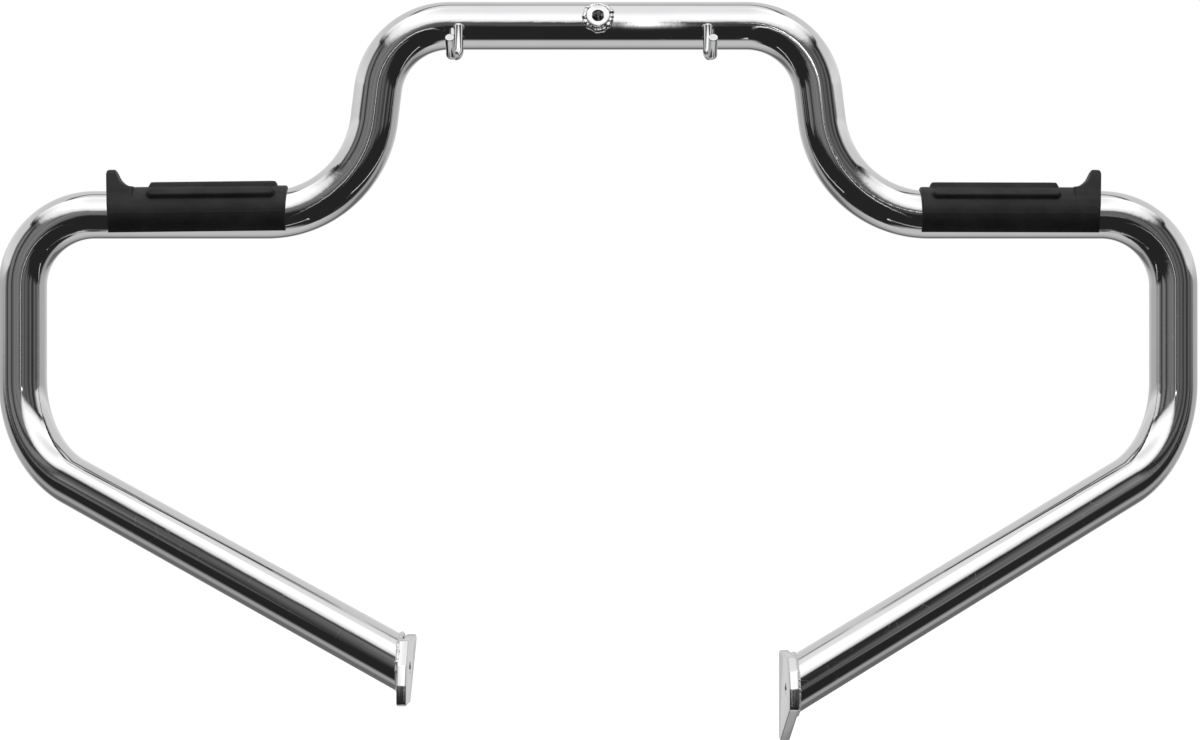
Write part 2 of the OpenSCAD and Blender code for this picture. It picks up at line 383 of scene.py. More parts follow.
def cut(mesh: Mesh, cutter: Mesh) -> Mesh:
    """Takes one closed mesh away from another.

    Args:
        mesh: what is cut.
        cutter: what is taken away.

    Returns:
        The new mesh.
    """
    tool = bpy.data.objects.new("cutter", cutter)
    bpy.context.scene.collection.objects.link(tool)
    obj = bpy.data.objects.new("blank", mesh)
    modifier = obj.modifiers.new("cut", "BOOLEAN")
    modifier.operation, modifier.solver, modifier.object = "DIFFERENCE", "EXACT", tool
    result = baked(obj)
    bpy.data.objects.remove(tool)
    bpy.data.meshes.remove(cutter)
    return result


def revolve(profile: Sequence[Point], sides: int, place: Matrix) -> Mesh:
    """Turns a closed profile round an axis, with a thread where the profile asks for one.

    Args:
        profile: radius, height and thread depth of each point.
        sides: steps around the axis.
        place: puts the axis, +Z, in its place, in millimetres.

    Returns:
        The closed mesh.
    """
    points, faces, count = [], [], len(profile)
    for i in range(sides):
        turn = i / sides
        for radius, height, depth in profile:
            r = radius + depth * abs(2.0 * ((height / THREAD_PITCH - turn) % 1.0) - 1.0)
            points.append(place @ Vector((r * math.cos(turn * math.tau),
                                          r * math.sin(turn * math.tau), height)))
    for i in range(sides):
        a, b = i * count, (i + 1) % sides * count
        faces += [(a + j, b + j, b + (j + 1) % count, a + (j + 1) % count) for j in range(count)]
    return solid(points, faces)


def axes(origin: Vector, x: Vector, y: Vector, z: Vector) -> Matrix:
    """The matrix that puts the origin and the three axes in the places given."""
    return Matrix(((x.x, y.x, z.x, origin.x), (x.y, y.y, z.y, origin.y),
                   (x.z, y.z, z.z, origin.z), (0.0, 0.0, 0.0, 1.0)))


def show(name: str, mesh: Mesh, finish: Material, replaces: Sequence[str] = (),
         sharp_from: float = 38.0) -> None:
    """Puts a finished mesh in the scene as a piece of the bars.

    Args:
        name: the piece's name.
        mesh: its mesh, in place.
        finish: its material.
        replaces: the CAD nodes that it stands for.
        sharp_from: the angle between faces, in degrees, from which an edge is sharp.
    """
    mesh.name = name
    mesh.materials.clear()
    mesh.materials.append(finish)
    mesh.polygons.foreach_set("material_index", [0] * len(mesh.polygons))
    mesh.shade_smooth()
    mesh.set_sharp_from_angle(angle=math.radians(sharp_from))
    obj = bpy.data.objects.new(name, mesh)
    bpy.context.scene.collection.objects.link(obj)
    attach(obj, BODY)
    if replaces:
        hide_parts(*replaces)
    LOG.info("%s: %d faces", name, len(mesh.polygons))


# ---- finishes


@dataclass(frozen=True)
class Chrome:
    """Bright plating: a mirror with faint waves, more of them where the steel was bent."""

    name: str
    level: float = 0.86
    gloss: float = 0.018
    smudge: float = 0.03
    wave_mm: float = 0.012
    ripple_mm: float = 0.0015
    bend_wave_mm: float = 0.045
    pit_mm: float = 0.006
    # A pit sits in a cell whose random shade is above this, and is this wide beside the cell.
    pit_from: float = 0.82
    pit_wide: float = 0.06

    def material(self) -> Material:
        """Builds the node material.

        Returns:
            The new material.
        """
        made = bpy.data.materials.new(self.name)
        g = Graph.of(made)
        place = g.add("ShaderNodeTexCoord").outputs["Object"]
        bent = g.add("ShaderNodeAttribute", attribute_name="bend").outputs["Fac"]
        cells = g.add("ShaderNodeTexVoronoi", {"Vector": place, "Scale": 170.0}).outputs
        pits = g.times(g.ease(cells["Distance"], 0.0, self.pit_wide),
                       g.math("GREATER_THAN", cells["Color"], self.pit_from))
        waves, ripples, folds = (g.noise(place, scale, detail) for scale, detail in
                                 ((70.0, 2.0), (520.0, 1.0), (210.0, 3.0)))
        normal = None
        for source, height, strength in ((waves, self.wave_mm, 1.0),
                                         (ripples, self.ripple_mm, 1.0),
                                         (folds, self.bend_wave_mm, bent),
                                         (pits, self.pit_mm, 1.0)):
            inputs = {"Height": source, "Distance": height * MM, "Strength": strength}
            if normal:
                inputs["Normal"] = normal
            normal = g.add("ShaderNodeBump", inputs).outputs[0]
        smudges = g.noise(place, 34.0, 6.0)
        rough = g.span(smudges, 0.45, 0.75, self.gloss, self.gloss + self.smudge)
        film = g.span(smudges, 0.4, 0.8, self.level, self.level * 0.96)
        tint = g.add("ShaderNodeCombineColor", {0: film, 1: film, 2: g.times(film, 1.012)})
        shader = g.add("ShaderNodeBsdfPrincipled", {"Base Color": tint.outputs[0], "Metallic": 1.0,
                                                    "Roughness": rough, "Normal": normal})
        g.add("ShaderNodeOutputMaterial", {0: shader.outputs[0]})
        return made


@dataclass(frozen=True)
class MouldedRubber:
    """Matte black rubber with a fine grain, faint mottling and a trace of dust."""

    name: str
    dark: Point = (0.021, 0.021, 0.0225)
    worn: Point = (0.040, 0.040, 0.042)
    roughness: float = 0.56
    grain_mm: float = 0.03
    flow_mm: float = 0.05

    def material(self) -> Material:
        """Builds the node material.

        Returns:
            The new material.
        """
        made = bpy.data.materials.new(self.name)
        g = Graph.of(made)
        place = g.add("ShaderNodeTexCoord").outputs["Object"]
        flow = g.add("ShaderNodeMapping", {"Vector": place, "Scale": (30.0, 220.0, 220.0)})
        lines = g.noise(flow.outputs[0], 1.0, 4.0)
        share = g.span(g.noise(place, 55.0, 5.0), 0.42, 0.72)
        colour = g.add("ShaderNodeMix", {"Factor": share, 6: (*self.dark, 1.0),
                                         7: (*self.worn, 1.0)}, data_type="RGBA")
        rough = g.span(lines, 0.3, 0.7, self.roughness - 0.06, self.roughness + 0.1)
        broad = g.add("ShaderNodeBump", {"Height": lines, "Distance": self.flow_mm * MM,
                                         "Strength": 1.0})
        fine = g.add("ShaderNodeBump", {"Height": g.noise(place, 1500.0, 3.0),
                                        "Distance": self.grain_mm * MM, "Strength": 1.0,
                                        "Normal": broad.outputs[0]})
        shader = g.add("ShaderNodeBsdfPrincipled",
                       {"Base Color": colour.outputs[2], "Roughness": rough,
                        "Specular IOR Level": 0.4, "Normal": fine.outputs[0]})
        g.add("ShaderNodeOutputMaterial", {0: shader.outputs[0]})
        return made


# ---- the bent tube


@dataclass(frozen=True)
class BentPath:
    """A centreline of straights joined by round bends, in millimetres."""

    corners: tuple[Vector, ...]
    radii: tuple[float, ...]

    def points(self, step_degrees: float) -> tuple[list[Vector], list[float]]:
        """Samples the path.

        Args:
            step_degrees: the turn from one point of a bend to the next.

        Returns:
            The points, and for each how far it is inside a bend, from 0 to 1.
        """
        spots, bends = [self.corners[0].copy()], [0.0]
        for before, corner, after, radius in zip(self.corners, self.corners[1:],
                                                 self.corners[2:], self.radii):
            come, go = (corner - before).normalized(), (after - corner).normalized()
            angle = come.angle(go)
            reach = radius * math.tan(angle / 2)
            inward = (go - come * come.dot(go)).normalized()
            centre = corner - come * reach + inward * radius
            steps = max(2, round(math.degrees(angle) / step_degrees))
            for i in range(steps + 1):
                turn = angle * i / steps
                spots.append(centre - inward * radius * math.cos(turn)
                             + come * radius * math.sin(turn))
                bends.append(math.sqrt(max(0.0, math.sin(math.pi * i / steps))))
        return spots + [self.corners[-1].copy()], bends + [0.0]


@dataclass(frozen=True)
class TubeSizes:
    """The bars' sizes, as in the part's source, in millimetres."""

    radius: float = 15.875
    wall: float = 3.0
    tight: float = 48.0
    wide: float = 72.0
    shoulder_x: float = 141.5
    step_x: float = 157.0
    step_drop: float = 126.0
    outer_x: float = 383.5
    outer_drop: float = 159.0
    mount_half_gap: float = 114.3
    leg_sweep: float = 175.0
    left_leg_drop: float = 126.0
    right_leg_drop: float = 139.0

    def corner(self, name: str, hand: Hand) -> Vector:
        """One corner of the centreline.

        Args:
            name: shoulder, step, outer, lower or hole.
            hand: its side.

        Returns:
            The corner, in millimetres.
        """
        low = -self.step_drop - self.outer_drop
        leg = self.left_leg_drop if hand is Hand.LEFT else self.right_leg_drop
        place = {"shoulder": (self.shoulder_x, 0.0, 0.0),
                 "step": (self.step_x, 0.0, -self.step_drop),
                 "outer": (self.outer_x, 0.0, -self.step_drop),
                 "lower": (self.outer_x, 0.0, low),
                 "hole": (self.mount_half_gap, -self.leg_sweep, low - leg)}[name]
        return Vector((hand.value * place[0], place[1], place[2]))

    def leg(self, hand: Hand) -> Vector:
        """The direction of a leg, from its bend to its plate."""
        return (self.corner("hole", hand) - self.corner("lower", hand)).normalized()

    def rail_rise(self, x: float) -> float:
        """How far the foot rail has risen into the step bend at a distance from the middle."""
        path = BentPath((self.corner("shoulder", Hand.RIGHT), self.corner("step", Hand.RIGHT),
                         self.corner("outer", Hand.RIGHT)), (self.wide,))
        bend_x = path.points(90.0)[0][-2].x
        return self.wide - math.sqrt(self.wide ** 2 - max(bend_x - x, 0.0) ** 2)


SIZES = TubeSizes()


@dataclass(frozen=True)
class PlateSizes:
    """One mounting plate: its outline round the hole, away from the rider and up."""

    hand: Hand
    outline: tuple[tuple[float, float], ...]
    thickness: float = 6.0
    toe: float = 3.0
    corner: float = 3.0

    @property
    def place(self) -> Matrix:
        """Local X runs outboard through the plate, Y away from the rider and Z up."""
        mirror = Matrix.Diagonal((self.hand.value, 1.0, 1.0, 1.0))
        return (Matrix.Translation(SIZES.corner("hole", self.hand)) @ mirror
                @ Matrix.Rotation(math.radians(self.toe), 4, "Z"))

    def under_leg(self, spot: Vector, bite: float = 0.0) -> Vector:
        """Slides a point along the leg onto the outboard face.

        Args:
            spot: the point, in millimetres.
            bite: how far under the face it ends.

        Returns:
            Its new place.
        """
        leg = SIZES.leg(self.hand)
        face = self.place @ Vector((self.thickness - bite, 0.0, 0.0))
        normal = (self.place.to_3x3() @ Vector((1.0, 0.0, 0.0))).normalized()
        return spot + leg * ((face - spot).dot(normal) / leg.dot(normal))


@dataclass
class BarTube:
    """The one bent tube, with a hole where the bung goes in."""

    finish: Material
    plates: dict[Hand, PlateSizes]
    sides: int = 112
    step_degrees: float = 1.6
    plate_bite: float = 0.5
    # Rings this far to each side of the middle keep the bung's hole on short faces.
    hole_ring: float = 14.0

    def path(self) -> tuple[list[Vector], list[float]]:
        """The centreline from the left plate over the top to the right plate.

        Returns:
            The points and how far each is inside a bend.
        """
        names = ("shoulder", "step", "outer", "lower", "hole")
        corners = [SIZES.corner(name, Hand.LEFT) for name in reversed(names)]
        corners += [SIZES.corner(name, Hand.RIGHT) for name in names]
        half = (SIZES.tight, SIZES.wide, SIZES.tight, SIZES.wide)
        spots, bends = BentPath(tuple(corners), half[::-1] + half).points(self.step_degrees)
        middle = next(i for i, p in enumerate(spots) if p.x > 0 and abs(p.z) < 1e-3)
        for x in (self.hole_ring, -self.hole_ring):
            spots.insert(middle, Vector((x, 0.0, 0.0)))
            bends.insert(middle, 0.0)
        return spots, bends

    def build(self) -> None:
        """Sweeps the tube, cuts its ends to the plates and opens the bung's hole."""
        spots, bends = self.path()
        mesh = tube_tool().run(wire(spots, attributes={"bend": bends}), {
            "Radius": SIZES.radius * MM, "Bore": (SIZES.radius - SIZES.wall) * MM,
            "Sides": self.sides, "Finish": self.finish})
        self.close_ends(mesh)
        show("bar_tube_chromed", cut(mesh, BUNG.cutter()), self.finish, ["bar_tube"])

    def close_ends(self, mesh: Mesh) -> None:
        """Slides the open ends along the legs onto the plates and closes the wall there.

        Args:
            mesh: the swept tube, changed in place.
        """
        work = bmesh.new()
        work.from_mesh(mesh)
        rims = [e for e in work.edges if e.is_boundary]
        for hand, plate in self.plates.items():
            own = [e for e in rims if e.verts[0].co.x * hand.value > 0]
            for v in {v for e in own for v in e.verts}:
                v.co = plate.under_leg(v.co / MM, self.plate_bite) * MM
            bmesh.ops.bridge_loops(work, edges=own)
        bmesh.ops.recalc_face_normals(work, faces=work.faces)
        work.to_mesh(mesh)
        work.free()


# ---- the bung, its thread and the welds


@dataclass(frozen=True)
class BungSizes:
    """The threaded bung in the middle of the top rail, in millimetres."""

    radius: float = 8.0
    face: float = 17.2
    inner: float = 6.0
    tilt: float = 17.0
    minor: float = 3.4
    thread_depth: float = 0.6
    mouth: float = 0.8
    edge: float = 1.3
    # The height of one step of the thread, and over how many steps it fades in and out.
    thread_step: float = 0.105
    thread_fade: int = 6

    @property
    def place(self) -> Matrix:
        """+Z runs along the bung's axis towards the rider."""
        tilt = math.radians(self.tilt)
        out = Vector((0.0, -math.cos(tilt), math.sin(tilt)))
        side = Vector((1.0, 0.0, 0.0))
        return axes(Vector(), side, out.cross(side), out)

    def cutter(self) -> Mesh:
        """The hole in the tube's near wall, as a cylinder a little slimmer than the bung."""
        return rod(self.radius - 0.2, 1.0, 2.0 * SIZES.radius, 64, self.place)

    def thread(self, low: float, high: float) -> list[Point]:
        """The profile of the threaded wall, from its mouth down.

        Args:
            low: the lower end.
            high: the mouth.

        Returns:
            Profile points for revolve.
        """
        count = max(4, round((high - low) / self.thread_step))
        return [(self.minor, high - (high - low) * i / count,
                 self.thread_depth * min(1.0, i / self.thread_fade, (count - i) / self.thread_fade))
                for i in range(count + 1)]


BUNG = BungSizes()


def rod(radius: float, low: float, high: float, sides: int, place: Matrix) -> Mesh:
    """A closed cylinder from one height of a place's axis to another, to cut a hole with."""
    axis = 0.01
    return revolve([(axis, low, 0.0), (radius, low, 0.0), (radius, high, 0.0), (axis, high, 0.0)],
                   sides, place)


@dataclass(frozen=True)
class Bead:
    """A weld bead, in millimetres: its drops' radius, spacing and share of unevenness."""

    radius: float
    pitch: float
    uneven: float
    # How many times the fused skin is smoothed, and the size of its cells.
    soften: int = 4
    cell: float = 0.26


@dataclass
class Welder:
    """Lays weld beads, all with one finish."""

    finish: Material
    tool: ShapeTool = field(default_factory=weld_tool)

    def lay(self, name: str, bead: Bead, path: Sequence[Vector], seed: int,
            closed: bool = True) -> None:
        """Lays the drops along a path, runs them together and shows the bead.

        Args:
            name: what the weld holds.
            bead: its drops.
            path: the bead's middle, in millimetres.
            seed: the seed of its unevenness.
            closed: whether the path is a ring.
        """
        def fuse(obj: bpy.types.Object) -> None:
            """Remeshes the drops into one skin and softens it."""
            skin = obj.modifiers.new("fuse", "REMESH")
            skin.mode, skin.voxel_size, skin.use_smooth_shade = "VOXEL", bead.cell * MM, True
            soft = obj.modifiers.new("soften", "SMOOTH")
            soft.factor, soft.iterations = 0.5, bead.soften

        values = {"Radius": bead.radius * MM, "Pitch": bead.pitch * MM, "Uneven": bead.uneven,
                  "Seed": seed, "Finish": self.finish}
        show(f"{name}_weld", self.tool.run(wire(path, closed), values, fuse), self.finish,
             sharp_from=60.0)


@dataclass
class CentreBung:
    """The turned bung and the weld bead round it."""

    finish: Material
    welder: Welder
    bead: Bead = Bead(1.6, 0.75, 0.3, soften=9)
    ring_radius: float = 9.0
    ring_lift: float = 0.15

    def build(self) -> None:
        """Turns the bung with its thread, and lays the weld bead on the rail."""
        b = BUNG
        profile = [(b.radius, -b.inner, 0.0), (b.radius, b.face - b.edge, 0.0),
                   (b.radius - 0.25 * b.edge, b.face - 0.28 * b.edge, 0.0),
                   (b.radius - b.edge, b.face, 0.0), (b.minor + b.mouth, b.face, 0.0),
                   (b.minor + 0.6 * b.mouth, b.face - 0.35 * b.mouth, 0.0)]
        profile += b.thread(-b.inner, b.face - b.mouth)
        show("bung_boss", revolve(profile, 72, b.place), self.finish,
             ["centre_bung"], sharp_from=30.0)
        ring = []
        for turn in np.linspace(0.0, math.tau, 96, endpoint=False):
            across = self.ring_radius * math.sin(turn)
            up = math.sqrt(SIZES.radius ** 2 - across ** 2) + self.ring_lift
            ring.append(b.place @ Vector((self.ring_radius * math.cos(turn), across, up)))
        self.welder.lay("bung", self.bead, ring, 7)


# ---- hooks


@dataclass
class RodHook:
    """A bent rod welded to the rider's side of the rail."""

    hand: Hand
    x: float
    pin_offset: float
    finish: Material
    bars: ShapeTool
    welder: Welder
    radius: float = 3.0
    bend: float = 4.4
    drop: float = 22.0
    reach: float = 8.5
    pin: float = 18.0
    rise: float = 33.0
    bite: float = 0.5
    post_top: float = -1.2
    swell: float = 0.14
    edge: float = 0.55
    sides: int = 48
    step_degrees: float = 6.0
    bead: Bead = Bead(0.8, 0.8, 0.22)
    # The weld's arch round the post: below the post's top, its height, half width and lift.
    arch: Range = (1.7, 2.1, 2.9, 0.7)

    def build(self) -> None:
        """Sweeps the rod with its eased ends and lays the weld over its post."""
        side, rise = self.hand.value, math.radians(self.rise)
        post_y = -SIZES.radius - self.radius + self.bite
        top = Vector((side * self.x, post_y, self.post_top))
        foot = Vector((side * (self.x + self.pin_offset), post_y - self.reach, -self.drop))
        tip = foot + Vector((0.0, -math.cos(rise), math.sin(rise))) * self.pin
        corners = (top, Vector((top.x, post_y, -self.drop)), foot, tip)
        spots, bends = BentPath(corners, (self.bend, self.bend)).points(self.step_degrees)
        spots, bends, taper = self.ease_ends(spots, bends)
        bar = self.bars.run(wire(spots, attributes={"bend": bends, "taper": taper}), {
            "Radius": self.radius * MM, "Sides": self.sides, "Finish": self.finish})
        node = f"{self.hand.word}_hook"
        show(f"{node}_rod", outward(bar), self.finish, [node], sharp_from=50.0)
        self.welder.lay(node, self.bead, self.bead_path(top.x), 11 + side, closed=False)

    def ease_ends(self, spots: list[Vector], bends: list[float]
                  ) -> tuple[list[Vector], list[float], list[float]]:
        """Closes both ends of the rod with a flat face and a small round edge.

        Args:
            spots: the rod's centreline.
            bends: how far each point is inside a bend.

        Returns:
            The longer centreline, its bends and the taper at each point.
        """
        rings = [(0.0, 0.0001), (0.0, 0.45)]
        rings += [(self.edge * (1 - math.cos(a)), 1 - self.edge * (1 - math.sin(a)) / self.radius)
                  for a in np.linspace(0.0, math.pi / 2, 5)]
        start = (spots[1] - spots[0]).normalized()
        end = (spots[-2] - spots[-1]).normalized()
        head = [spots[0] + start * (d + 1e-4 * i) for i, (d, _) in enumerate(rings)]
        tail = [spots[-1] + end * (d + 1e-4 * i) for i, (d, _) in enumerate(rings)][::-1]
        sizes, flat = [t for _, t in rings], [0.0] * len(rings)
        middle = [1.0 + self.swell * b for b in bends[1:-1]]
        return head + spots[1:-1] + tail, flat + bends[1:-1] + flat, sizes + middle + sizes[::-1]

    def bead_path(self, x: float) -> list[Vector]:
        """The weld's path: up one side of the post, over its top and down the other.

        Args:
            x: the post's place along the rail.

        Returns:
            The path's points.
        """
        below, high, half, lift = self.arch
        path = []
        for turn in np.linspace(-0.25 * math.pi, 1.25 * math.pi, 40):
            z = self.post_top - below + high * math.sin(turn)
            path.append(Vector((x + half * math.cos(turn),
                                -math.sqrt(SIZES.radius ** 2 - z ** 2) - lift, z)))
        return path


# ---- mounting plates


@dataclass
class MountPlate:
    """A plate across a leg's end, with its threaded hole and the weld that holds it."""

    sizes: PlateSizes
    finish: Material
    welder: Welder
    edge: float = 0.9
    # The thread's sleeve: how far it stays inside each face, and its wall.
    inset: float = 0.05
    sleeve: float = 0.5
    bead: Bead = Bead(1.45, 1.0, 0.14, soften=6)
    bead_lift: float = 0.2

    def blank(self) -> Mesh:
        """The plate with round corners and eased edges, before the hole is made.

        Returns:
            The closed mesh.
        """
        s, rim = self.sizes, []
        corners = [Vector(c) for c in s.outline]
        for i, corner in enumerate(corners):
            come = (corner - corners[i - 1]).normalized()
            go = (corners[(i + 1) % len(corners)] - corner).normalized()
            angle = come.angle(go)
            start = corner - come * s.corner * math.tan(angle / 2)
            centre = start + Vector((-come.y, come.x)) * s.corner
            for k in range(9):
                turn = angle * k / 8
                rim.append(centre + (start - centre) * math.cos(turn)
                           + come * s.corner * math.sin(turn))
        count = len(rim)
        points = [s.place @ Vector((x, p.x, p.y)) for x in (0.0, s.thickness) for p in rim]
        faces = [tuple(range(count)), tuple(range(count, 2 * count))]
        faces += [(i, (i + 1) % count, count + (i + 1) % count, count + i) for i in range(count)]
        obj = bpy.data.objects.new("plate", solid(points, faces))
        bevel = obj.modifiers.new("ease", "BEVEL")
        bevel.width, bevel.segments = self.edge * MM, 4
        bevel.limit_method, bevel.angle_limit = "ANGLE", math.radians(50.0)
        return baked(obj)

    def build(self) -> None:
        """Makes the plate, its thread and the leg's weld."""
        s = self.sizes
        word = s.hand.word
        place = s.place @ axes(Vector((s.thickness, 0.0, 0.0)), Vector((0.0, 0.0, 1.0)),
                               Vector((0.0, 1.0, 0.0)), Vector((-1.0, 0.0, 0.0)))
        wide = BUNG.minor + BUNG.mouth
        plate = cut(self.blank(), rod(wide, -s.thickness, 2 * s.thickness, 48, place))
        show(f"{word}_plate", plate, self.finish, [f"{word}_mount_plate"],
             sharp_from=30.0)
        low, top = self.inset, s.thickness - self.inset
        profile = [(wide + self.sleeve, low, 0.0), (wide + self.sleeve, top, 0.0),
                   (wide, top, 0.0), *BUNG.thread(low, top - BUNG.mouth)]
        show(f"{word}_plate_thread", revolve(profile, 64, place), self.finish,
             sharp_from=30.0)
        leg = SIZES.leg(s.hand)
        side = leg.cross(Vector((0.0, 0.0, 1.0))).normalized()
        up = side.cross(leg).normalized()
        reach = SIZES.radius + self.bead_lift
        ring = [s.under_leg(SIZES.corner("hole", s.hand)
                            + (side * math.cos(turn) + up * math.sin(turn)) * reach)
                for turn in np.linspace(0.0, math.tau, 120, endpoint=False)]
        self.welder.lay(f"{word}_leg", self.bead, ring, 23 + s.hand.value)


# ---- foot pads


def soft_least(a: np.ndarray, b: np.ndarray, width: float) -> np.ndarray:
    """The smaller of two values, with the corner between them rounded."""
    share = np.clip(0.5 + 0.5 * (b - a) / width, 0.0, 1.0)
    return b + (a - b) * share - width * share * (1.0 - share)


@dataclass
class FootPad:
    """A moulded rubber sleeve, open underneath, with three ribs and a horn at its outer end."""

    hand: Hand
    start: float
    finish: Material
    length: float = 117.5
    wall: float = 2.4
    clearance: float = 0.1
    lip: float = 12.3
    rib_height: float = 3.2
    rib_width: float = 7.6
    rib_turns: tuple[float, ...] = (-45.0, 0.0, 45.0)
    rib_start: float = 7.0
    rib_length: float = 85.0
    horn_height: float = 30.6
    horn_thick: float = 6.2
    horn_fillet: float = 9.5
    horn_round: float = 8.0
    horn_lean: float = 2.9
    horn_corner: float = 2.6
    edge: float = 1.1
    parting: float = 0.14
    parting_width: float = 0.28
    around: int = 150
    # From one section to the next: in plain places, at the ribs' ends and along the horn.
    plain_step: float = 1.6
    rib_step: float = 0.4
    horn_step: float = 0.32
    # How far from a rib's end and from the pad's outer end the finer steps start.
    rib_zone: float = 4.5
    horn_zone: float = 17.0
    # How far the horn's corners are rounded into each other, along and across the tube.
    top_blend: float = 3.2
    side_blend: float = 2.2
    # The share of its fillet that the horn's foot follows, and of its outer corner's fall.
    fillet_share: float = 0.97
    corner_share: float = 0.75
    # A rib's flank: how far it starts outside the rib, how wide it is, and the rib's crown.
    rib_toe: float = 0.55
    rib_flank: float = 1.75
    rib_crown: float = 0.25
    rib_shape: float = 0.35
    # How far above the lips' lowest points the walls end.
    lip_round: float = 0.5

    @property
    def bore(self) -> float:
        """The radius of the sleeve's inside."""
        return SIZES.radius + self.clearance

    @property
    def outside(self) -> float:
        """The radius of the sleeve's outside, without ribs."""
        return self.bore + self.wall

    @property
    def horn_foot(self) -> float:
        """Where along the pad the horn starts to rise."""
        return self.length - self.horn_thick - self.horn_fillet

    def stations(self) -> np.ndarray:
        """The places along the pad where it has a section, closer where its shape changes.

        Returns:
            Distances from the inner end.
        """
        ends = [self.edge * (1 - math.cos(a)) for a in np.linspace(0.0, math.pi / 2, 6)]
        inner, outer = self.edge, self.length - self.edge
        marks = set(np.arange(inner, outer, self.plain_step))
        for mark in (self.rib_start, self.rib_start + self.rib_length):
            marks |= set(np.arange(mark - self.rib_zone, mark + self.rib_zone, self.rib_step))
        marks |= set(np.arange(self.length - self.horn_zone, outer, self.horn_step))
        marks = {m for m in marks if inner < m < outer}
        return np.array(sorted(marks | set(ends) | {self.length - e for e in ends}))

    def horn_top(self, x: np.ndarray) -> np.ndarray:
        """The height of the horn's outline, seen from the rider.

        Args:
            x: distances from the inner end.

        Returns:
            The height above the pad's axis.
        """
        fillet, corner = self.horn_fillet, self.horn_corner
        run = np.clip(x - self.horn_foot, 0.0, None)
        steep = self.fillet_share * fillet
        arc = fillet - np.sqrt(fillet ** 2 - np.minimum(run, steep) ** 2)
        slope = steep / math.sqrt(fillet ** 2 - steep ** 2)
        rise = self.outside + arc + np.clip(run - steep, 0.0, None) * slope
        near = np.clip(corner - (self.length - x), 0.0, corner)
        fall = corner - np.sqrt(corner ** 2 - near ** 2)
        top = soft_least(rise, np.full_like(x, self.horn_height), self.top_blend)
        return top - self.corner_share * fall

    def horn_side(self, turn: np.ndarray) -> np.ndarray:
        """The horn's reach from the axis, seen along the tube.

        Args:
            turn: angles from straight up, in radians.

        Returns:
            The reach at each angle.
        """
        high = self.horn_height - self.horn_round
        lean = math.asin((self.outside - self.horn_round) / high)
        turn = np.abs(turn)
        flank = self.outside / np.sin(np.clip(turn + lean, 0.05, math.pi / 2))
        inside = np.clip(self.horn_round ** 2 - (high * np.sin(turn)) ** 2, 0.0, None)
        crown = high * np.cos(turn) + np.sqrt(inside)
        touch = math.atan2(self.horn_round * math.cos(lean),
                           high + self.horn_round * math.sin(lean))
        return np.where(turn < touch, crown, flank)

    def skin(self, x: float, turn: np.ndarray) -> np.ndarray:
        """The radius of the pad's outside along one section.

        Args:
            x: the section's distance from the inner end.
            turn: angles from straight up, in radians.

        Returns:
            The radius at each angle.
        """
        reach = np.full_like(turn, self.outside)
        half = self.rib_width / 2
        low, high = self.rib_start + half, self.rib_start + self.rib_length - half
        along = x - min(max(x, low), high)
        for middle in self.rib_turns:
            away = np.hypot((turn - math.radians(middle)) * self.outside, along) - half
            rise = np.clip((self.rib_toe - away) / self.rib_flank, 0.0, 1.0)
            shape = np.sqrt(np.clip(1.0 - (1.0 - rise) ** 2, 0.0, 1.0)) * rise ** self.rib_shape
            crown = self.rib_crown * (np.clip(-away / half, 0.0, 1.0) - 1.0)
            reach = np.maximum(reach, self.outside + (self.rib_height + crown) * shape)
        seam = (np.abs(turn) - math.radians(90.0)) * self.outside / self.parting_width
        reach += self.parting * np.exp(-(seam ** 2))
        level = self.horn_top(np.array([x]))[0]
        if level > self.outside:
            flat = level / np.maximum(np.cos(turn), 0.2)
            reach = np.maximum(reach, soft_least(self.horn_side(turn), flat, self.side_blend))
        gap = self.edge - min(x, self.length - x)
        if gap > 0.0:
            reach = reach - self.edge + math.sqrt(max(self.edge ** 2 - gap ** 2, 0.0))
        return reach

    def section(self, x: float) -> list[Vector]:
        """One closed section: outside, lip, bore and the other lip.

        Args:
            x: its distance from the inner end.

        Returns:
            The section's points, in millimetres, in the bars' frame.
        """
        rise = SIZES.rail_rise(self.start)
        lean = math.asin(rise / self.length)
        place_x = self.start + x * math.cos(lean)
        pad_z = -SIZES.step_drop + rise - x * math.sin(lean)
        here, probe = SIZES.rail_rise(place_x), 0.5
        tube_z = -SIZES.step_drop + here
        tall = self.bore * math.sqrt(
            1.0 + ((here - SIZES.rail_rise(place_x + probe)) / probe) ** 2)
        low = pad_z - self.lip
        out_end = math.acos((self.lip_round - self.lip) / self.outside)
        in_end = math.acos(max(-1.0, (low + self.lip_round - tube_z) / tall))
        turn = np.linspace(-out_end, out_end, self.around)
        outside = [(r * math.sin(t), pad_z + r * math.cos(t))
                   for r, t in zip(self.skin(x, turn), turn)]
        inside = [(self.bore * math.sin(t), tube_z + tall * math.cos(t))
                  for t in np.linspace(in_end, -in_end, self.around)]
        loop = (outside + self.lip_points(outside[-1], inside[0], low)
                + inside + self.lip_points(inside[-1], outside[0], low))
        share = (x - self.horn_foot) / (self.length - self.horn_foot)
        share = min(max(share, 0.0), 1.0)
        tip = self.horn_lean * share * share * (3.0 - 2.0 * share) / self.horn_height
        return [Vector((self.hand.value * (place_x + tip * max(z - pad_z, 0.0)), -y, z))
                for y, z in loop]

    @staticmethod
    def lip_points(start: tuple[float, float], end: tuple[float, float], low: float
                   ) -> list[tuple[float, float]]:
        """The rounded lower edge between two points of a section.

        Args:
            start: where the lip starts.
            end: where it ends.
            low: the lip's lowest height.

        Returns:
            The points between.
        """
        points = []
        for share, drop in ((0.07, 0.62), (0.24, 0.95), (0.5, 1.0), (0.76, 0.95), (0.93, 0.62)):
            y = start[0] + (end[0] - start[0]) * share
            z = start[1] + (end[1] - start[1]) * share
            points.append((y, z + (low - z) * drop))
        return points

